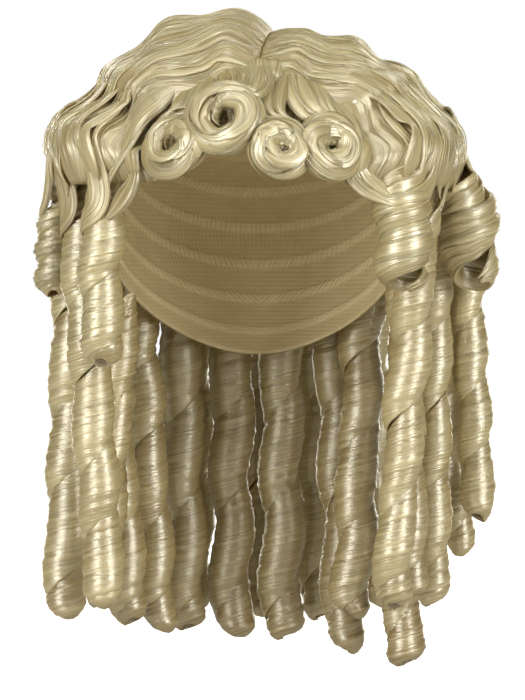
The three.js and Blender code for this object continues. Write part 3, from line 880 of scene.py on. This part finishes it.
def curved(keys, rows):
    """A smooth path through a few points."""
    keys = np.array(keys, float)
    keys = np.concatenate([[2 * keys[0] - keys[1]], keys, [2 * keys[-1] - keys[-2]]])
    at = np.linspace(0, len(keys) - 3 - 1e-9, rows)
    step = at.astype(int)
    t = (at - step)[:, None]
    a, b, c, d = keys[step], keys[step + 1], keys[step + 2], keys[step + 3]
    curve = 2 * b + (c - a) * t + (2 * a - 5 * b + 4 * c - d) * t ** 2
    return 0.5 * (curve + (3 * b - a - 3 * c + d) * t ** 3)


def temple_lock(keys, width, thick, number):
    path = smoothed(curved(keys, 64) / 1000, 3)
    out = unit((path + (0, 0, CAP_SIZE[2])) / CAP_SIZE ** 2)
    reach = np.linspace(0, 1, len(path))
    path = path - out * 0.013 * ease(-reach, -0.42, 0)[:, None]
    taper = drawn_out(reach, 0, 0.3, 0.72, 1)
    turn = 0.35 * np.sin(2 * np.pi * (1.1 * reach + 0.1))
    return lock(path, out, width / 1000 * taper, thick / 1000 * taper, number, turn, 20, strands=26)


for side_name, side in SIDES.items():
    walls = [wave_bed(side_name, side)]
    for step, (keys, width, thick) in enumerate(TEMPLE_LOCKS[side_name]):
        walls += temple_lock(keys, width, thick, 5000 + 10 * side + step)
    seed = 3000 if side > 0 else 4000
    for step, name in enumerate(FED_RINGLETS):
        row = ringlet_row(name)
        if row["top_x"] * side > 0:
            lanes = (-1, 0, 1) if row["lap"] < 1 else (-1, 1)
            for lane in lanes:
                walls += feeding_lock(side_name, side, row, lane, seed + 700 + 3 * step + lane)
    for width, thick, low, high, count in FLOWING_LOCKS:
        for azimuth in np.linspace(max(low, WAVE_FRONT[side_name] + 7), high, count):
            walls += flowing_lock(side_name, side, azimuth, width, thick, seed + int(azimuth))
    for step in range(FLOWING_STRANDS):
        walls.append(flowing_strand(side_name, side, seed + 100 + step))
    make_piece("wave_" + side_name, walls, hair, ["side_wave_" + side_name])


# The fringe: four rolled curls along the front edge, each a lock wound in from its rim to its eye and seen
# nearly end-on. It is the same fibre, fed by hair that comes down from the crown.
FRINGE_CURLS = [
    # number, azimuth, rise, radius, eye, turns, depth, way, first, lean, lean to, feed along, feed across
    (1, -29, 21.2, 0.0160, 0.0036, 1.20, 0.017, 1, 95, 0.30, 225, -42, -24),
    (2, -12.0, 28.4, 0.0182, 0.0056, 1.15, 0.021, 1, 70, 0.22, 315, -42, -6),
    (3, 8.4, 19.8, 0.0158, 0.0004, 1.30, 0.018, -1, 110, 0.25, 300, -43, 3),
    (4, 26.8, 20.8, 0.0156, 0.0028, 1.20, 0.017, -1, 90, 0.30, 270, -42, 20),
]
CURL_FACES_FRONT = 0.45
CURL_FEEDS = 8
CURL_TANGLES = 18
CURL_LOCKS = 9
CURL_LOCK = {"width": 0.0088, "thick": 0.0022}
CURL_FEED = {"width": 0.0090, "narrows": 0.0066, "thick": 0.0030, "deepens": 0.0024}


def leave_shell(points, direction, lift):
    """How far points go along a direction until they are a lift above the cap."""
    size = CAP_SIZE + lift
    start = (points + (0, 0, CAP_SIZE[2])) / size
    along = direction / size
    half = (start * along).sum(axis=-1) / (along * along).sum()
    rest = ((start * start).sum(axis=-1) - 1) / (along * along).sum()
    return np.sqrt(np.maximum(half * half - rest, 0)) - half


def fringe_curl(number, azimuth, rise, radius, eye, turns, depth, way, first, lean, lean_to,
                feed_along, feed_across):
    outwards = towards(azimuth, 90 - rise)
    centre = above_cap(outwards, np.array(0.0))
    axis = unit(outwards + CURL_FACES_FRONT * (np.array([0, -1, 0]) - outwards))
    sideways = unit(np.cross(axis, [0, 0, 1]))
    sideways = sideways * np.sign(sideways[0])
    upwards = np.cross(axis, sideways)
    upwards = upwards * np.sign(upwards[2])

    def coil(angle, ring, proud):
        spot = centre + sideways * (ring * np.cos(angle))[:, None]
        spot = spot + upwards * (ring * np.sin(angle))[:, None]
        return spot + axis * (leave_shell(spot, axis, HAIR_FLOOR + FRINGE_LAYER + 0.0003) + proud)[:, None]

    def roll(angle):
        return (radius - eye) * (1 - lean * np.cos(angle - math.radians(lean_to)))

    seed = 6000 + 10 * number
    share = np.linspace(0, 1, 64)
    angle = np.radians(first) + way * 2 * np.pi * turns * share
    thick = roll(angle)
    ends = drawn_out(share, 0, 0.14, 0.78, 1, 0.35, 0.3)
    ring = radius - 0.5 * thick - 0.0022 * share + 0.0006 * ripple(share, 0.5, seed + 5)
    path = coil(angle, ring, depth * 0.5 + 0.0014 * np.sin(angle + number))
    walls = lock(path, axis, 0.84 * thick * ends, 0.86 * depth * (0.7 + 0.3 * ends), seed, 0.0, 18, 0.025)
    for step in range(CURL_LOCKS):
        seed = 6100 + 20 * number + step
        chance = np.random.default_rng(seed)
        share = np.linspace(0, 1, 42)
        begin = chance.random()
        wound = begin + (0.7 + 0.5 * chance.random()) * share
        angle = np.radians(first) + way * 2 * np.pi * wound
        section = -0.08 + 1.16 * (step + 0.5) / CURL_LOCKS + 0.3 * (share - 0.5)
        section = np.pi * (section + 0.05 * ripple(share, 0.8, seed))
        thick = roll(angle)
        ring = radius - 0.5 * thick + 0.44 * thick * np.cos(section)
        ring = ring * (0.93 + 0.14 * chance.random())
        ring = ring + 0.0026 * chance.random() * np.cos(angle - 6.3 * chance.random())
        proud = depth * (0.5 + 0.42 * np.sin(section)) + 0.002 * np.sin(angle + 6.3 * chance.random())
        path = coil(angle, ring, proud)
        radial = sideways * np.cos(angle)[:, None] + upwards * np.sin(angle)[:, None]
        out = radial * np.cos(section)[:, None] + axis * np.sin(section)[:, None]
        ends = drawn_out(share, 0, 0.25, 0.7, 1, 0.08)
        width, thick = CURL_LOCK["width"] * ends, CURL_LOCK["thick"] * ends
        walls += lock(path, out, width, thick, seed, 0.0, 10, strands=8)
    for step in range(CURL_FEEDS):
        seed = 6300 + 20 * number + step
        chance = np.random.default_rng(seed)
        spread = step / (CURL_FEEDS - 1) - 0.5
        turned = np.linspace(0, 0.4 + 0.3 * chance.random(), 22)
        angle = np.radians(first - 64 * spread) + way * 2 * np.pi * turned
        ring = radius * (1 - 0.04 * chance.random()) - 0.0012 + 0 * angle
        wound = coil(angle, ring, depth * (0.2 + 0.65 * chance.random()))
        root = above_cap(combed(feed_along + 4, feed_across + 22 * spread), np.array(HAIR_FLOOR + 0.004))
        pull = wound[0] - unit(wound[1] - wound[0]) * 0.010
        t = np.linspace(0, 1, 15)[:-1, None]
        falling = root * (1 - t) ** 3 + (root + [0, -0.009, -0.002]) * 3 * t * (1 - t) ** 2
        falling = falling + pull * 3 * t * t * (1 - t) + wound[0] * t ** 3
        path = smoothed(np.concatenate([falling, wound]), 4)
        reach = np.linspace(0, 1, len(path))
        onto = ease(reach, 0.15, 0.45)
        ends = drawn_out(reach, 0, 0.25, 0.6, 1)
        width = (CURL_FEED["width"] - CURL_FEED["narrows"] * onto) * ends
        thick = (CURL_FEED["thick"] + CURL_FEED["deepens"] * onto) * ends
        walls += lock(path, axis, width, thick, seed, 0.0, 10, 0.04, strands=5)
    share = np.linspace(0, 1, 30)
    path = coil(6.283 * 1.7 * way * share, (eye + 0.003) * (1 - 0.93 * share), depth * (0.25 + 0.1 * share))
    walls += lock(path, axis, 0.8 * eye + 0.002, 0.003, 6900 + number, 0.0, 10, 0.05, strands=8)
    for step in range(CURL_TANGLES):
        chance = np.random.default_rng(6700 + 20 * number + step)
        angle = 6.283 * (chance.random() + np.linspace(0, 0.3 + 0.5 * chance.random(), 12))
        ring = (eye + 0.002) * (0.3 + 0.6 * chance.random()) * (1 + 0.3 * np.sin(angle * 1.7))
        proud = depth * (0.4 + 0.4 * chance.random()) + 0.002 * np.sin(angle)
        # Painted shade: the tangled hairs in the curl's eye are coloured darker.
        walls.append(strand(coil(angle, ring, proud), 0.0002, 6800 + step, 0.4))
    return walls


for row in FRINGE_CURLS:
    number = row[0]
    piece = make_piece("curl_%d" % number, fringe_curl(*row), hair, ["fringe_curl_%d" % number])


# The ringlets: strips of the same fibre wound into hanging tubes, each lap tucked under the one above it and
# the open end drawn in at a slight slant. They hang from the side waves' hem, and two from the cap's rim.
RINGLET_WALL = 0.0018
RINGLET_STRANDS = 48
FINEST_ON_RINGLET = 0.00014
SPIRAL_LOCKS = 3
SPIRAL_THICK = 0.0062
RINGLET_TUCK = 0.0038
RINGLET_LIP = 0.0034
RINGLET_ROUNDING = 0.008
RINGLET_SLANT = 0.0022
FIBRE_SLOPE = math.tan(math.radians(12))
# The ringlets that hang inside the others, which are coloured darker as painted shade.
SHADED_INSIDE_RINGLETS = (
    "right_inner right_nape right_under left_low left_inner left_under back_1 back_2 back_3 back_4").split()


def ringlet_skin(number, row):
    """The ringlet's sizes, and where its strip lies at a number of turns and a share across."""
    size = {"radius": row["radius"] / 1000, "pitch": row["pitch"] / 1000}
    size["length"] = row["top"] - row["end_z"] / 1000
    size["strip"] = size["pitch"] * row["lap"]
    size["first"] = -size["strip"] * 0.92
    size["turns"] = (size["length"] - size["strip"] * 0.08 - size["first"]) / size["pitch"]

    def upper(wound):
        even = ease(wound, 0, 1) * ease(wound - size["turns"], 0, -1)
        lapped = wound + 0.09 * even * ripple(wound, 3.3, number + 9, 2)
        return size["first"] + lapped * size["pitch"]

    def end(wound):
        slant = RINGLET_SLANT * np.cos(2 * np.pi * wound + number)
        return size["length"] + slant + 0.0004 * ripple(wound, 0.7, number + 6, 5)

    def skin(wound, across, rise):
        drop = upper(wound) + across * size["strip"]
        angle = row["inwards"] - 2 * np.pi * wound
        fibre = drop - 2 * np.pi * wound * size["radius"] * FIBRE_SLOPE
        groove = 0.00042 * ripple(fibre, 0.010, number + 3, 3)
        groove = groove + 0.00016 * ripple(fibre, 0.0038, number + 4, 2)
        swell = 1 + 0.055 * ripple(wound, 2.3, number + 1) + 0.05 * np.sin(np.pi * across)
        neck = ringlet_neck(drop)
        low = end(wound)
        rounded = np.sqrt(1 - 0.72 * np.clip((drop - low) / RINGLET_ROUNDING + 1, 0, 1) ** 2)
        taper = (1 - 0.05 * np.clip(drop / low, 0, 1) ** 2) * rounded
        tuck = RINGLET_TUCK * (1 - across) ** 1.6 + RINGLET_LIP * ease(across, 0.52, 1.05) ** 2
        girth = size["radius"] * neck * taper * swell - tuck + groove + rise
        return round_ringlet(row, drop, girth, angle), fibre, drop

    return size, upper, end, skin


def ringlet_strip(number, row):
    size, upper, end, skin = ringlet_skin(number, row)
    rows = int(size["turns"] * 22) + 1
    wound = np.linspace(0, size["turns"], rows)[:, None]
    column, inner = there_and_back(0, 1, 40, 6)
    cut_top = np.maximum(0, -upper(wound) / size["strip"])
    cut_end = np.minimum(1, (end(wound) - upper(wound)) / size["strip"])
    across = cut_top + (cut_end - cut_top) * column
    wall = inner * RINGLET_WALL * (0.35 + 0.65 * np.sin(np.pi * np.clip(column, 0.08, 0.92)))
    points, fibre, drop = skin(wound, across, -wall)
    flow = joined(2 * np.pi * wound * size["radius"], fibre) + number % 89 * 0.013
    # Painted shade: the strip is coloured darker where it is tucked under the lap above and on its inside
    # face, darker on the inside ringlets and darker towards the bottom; the rest of its tone is random per
    # ringlet.
    depth = np.clip(1.15 * np.maximum(across, 0) ** 0.6, 0, 1) * (1 - inner)
    shade = 0.55 + 0.45 * np.random.default_rng(number).random() - 0.8 * row["inside"]
    shade = shade - 0.4 * ease(drop, 0.03, 0.2)
    tone = joined(depth, shade)
    return [(points, closed(flow), closed(tone))]


def ringlet_strands(number, row):
    """Hairs on the strip: each comes from under the lap above and runs round to the strip's lower edge."""
    size, upper, end, skin = ringlet_skin(number, row)
    chance = np.random.default_rng(number + 2)
    climb = (size["pitch"] - 2 * np.pi * size["radius"] * FIBRE_SLOPE) / size["strip"]
    walls = []
    for step in range(RINGLET_STRANDS):
        low_end = 0.35 + 0.64 * chance.random()
        wound_end = (low_end - 0.04) / climb
        start = 0.2 + (size["turns"] - 0.9) * chance.random()
        wound = np.linspace(0, wound_end, max(8, int(13 * wound_end)))
        across = low_end - climb * wound
        wound = start + wound
        drop = upper(wound) + across * size["strip"]
        inside = (drop > 0.002) & (drop < end(wound) - 0.003) & (wound < size["turns"])
        if inside.sum() < 6:
            continue
        wave = 0.0005 * chance.random() ** 2 * ripple(wound, 0.5, number + step, 2) - 0.00004
        points = skin(wound[inside], across[inside], wave[inside])[0]
        # Painted shade: hairs on the inside ringlets, and hairs lower down a ringlet, are coloured darker.
        pale = 0.75 - 0.45 * row["inside"] - 0.3 * start / size["turns"]
        thick = FINEST_ON_RINGLET + STRAND_VARIES * chance.random()
        walls.append(strand(points, thick, number * 3 + step, pale))
    return walls


def loose_spiral(number, row):
    """A ringlet wound loosely from a rounded lock, so that its hollow shows between the turns."""
    length = row["top"] - row["end_z"] / 1000
    radius, pitch = row["radius"] / 1000, row["pitch"] / 1000
    wide = pitch * row["lap"] / SPIRAL_LOCKS
    walls = []
    for step in range(SPIRAL_LOCKS):
        seed = number + 2 * step
        shift = wide * (step - 0.5 * (SPIRAL_LOCKS - 1))
        drop = np.linspace(-0.006, length - 0.5 * wide * SPIRAL_LOCKS, int(40 * length / pitch))
        angle = row["inwards"] - 2 * np.pi * drop / pitch - 0.6 + 0.12 * step
        reach = np.linspace(0, 1, len(drop))
        drop = drop + shift * (1 - 0.8 * ease(reach, 0.72, 1)) + 0.0008 * ripple(reach, 0.5, seed)
        ring = radius - 0.0036 - 0.3 * radius * ease(-drop, -0.012, 0.006) - 0.0016 * abs(step - 1)
        uneven = 1 + 0.05 * ripple(drop, 0.05, number) + 0.02 * ripple(drop, 0.03, seed + 1)
        ring = ring * uneven * (1 - 0.3 * ease(reach, 0.86, 1))
        path = round_ringlet(row, drop, ring, angle)
        tilt = 0.25 * np.sin(angle * 0.7) + 0.25 * (1 - step)
        out = joined(np.cos(angle), np.sin(angle), tilt)
        taper = drawn_out(reach, 0, 0.12, 0.8, 1, 0.3, 0.06)
        thick = SPIRAL_THICK * (0.3 + 0.7 * taper)
        walls += lock(path, unit(out), 2.0 * wide * taper, thick, seed, 0.15, 16, strands=14)
    return walls


for number, name in enumerate(RINGLETS):
    row = ringlet_row(name)
    # Inside ringlets get painted shade: a darker colour on their strips and hairs.
    row["inside"] = name in SHADED_INSIDE_RINGLETS
    seed = 7000 + 10 * number
    if row["lap"] < 1:
        walls = loose_spiral(seed, row)
    else:
        walls = ringlet_strip(seed, row) + ringlet_strands(seed, row)
    make_piece("hanging_" + name, walls, hair, ["ringlet_" + name])
